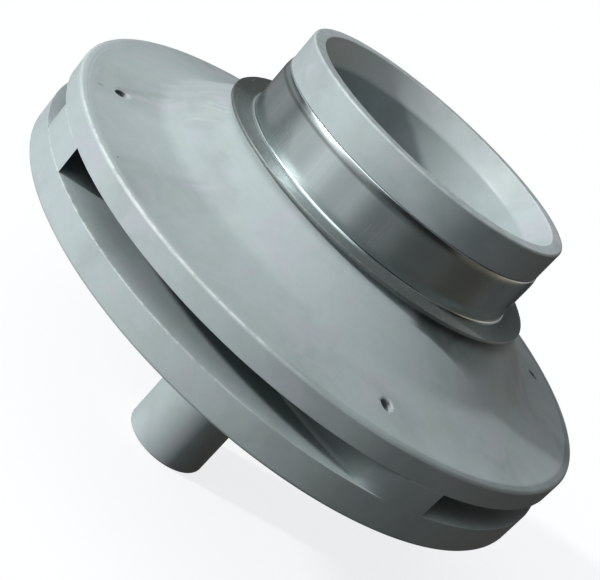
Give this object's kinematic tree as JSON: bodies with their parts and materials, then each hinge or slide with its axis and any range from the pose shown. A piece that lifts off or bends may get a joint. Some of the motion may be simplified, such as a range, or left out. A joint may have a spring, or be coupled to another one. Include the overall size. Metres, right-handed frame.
{
  "type": "closed pump impeller",
  "caption": "Closed pump impeller with swept vanes between two plastic shrouds, a steel wear ring round the suction eye and a long threaded hub.",
  "frame": {"origin": "on the axis at the end face of the hub, where the shaft screws in", "axes": "+Z along the axis from the hub's end towards the suction eye; +X is 28.8 degrees before the pressure corner of the first vane at the rim"},
  "size_m": [0.125, 0.125, 0.0885],
  "materials": {
    "moulded_plastic": "satin moulded surface, blue-grey filled plastic",
    "stainless_steel": "polished, with fine axial scratches",
    "brass": "turned"
  },
  "bodies": {
    "root": {"rear_shroud": "moulded_plastic", "front_shroud": "moulded_plastic", "wear_ring": "stainless_steel", "shaft_insert": "brass"}
  },
  "joints": []
}
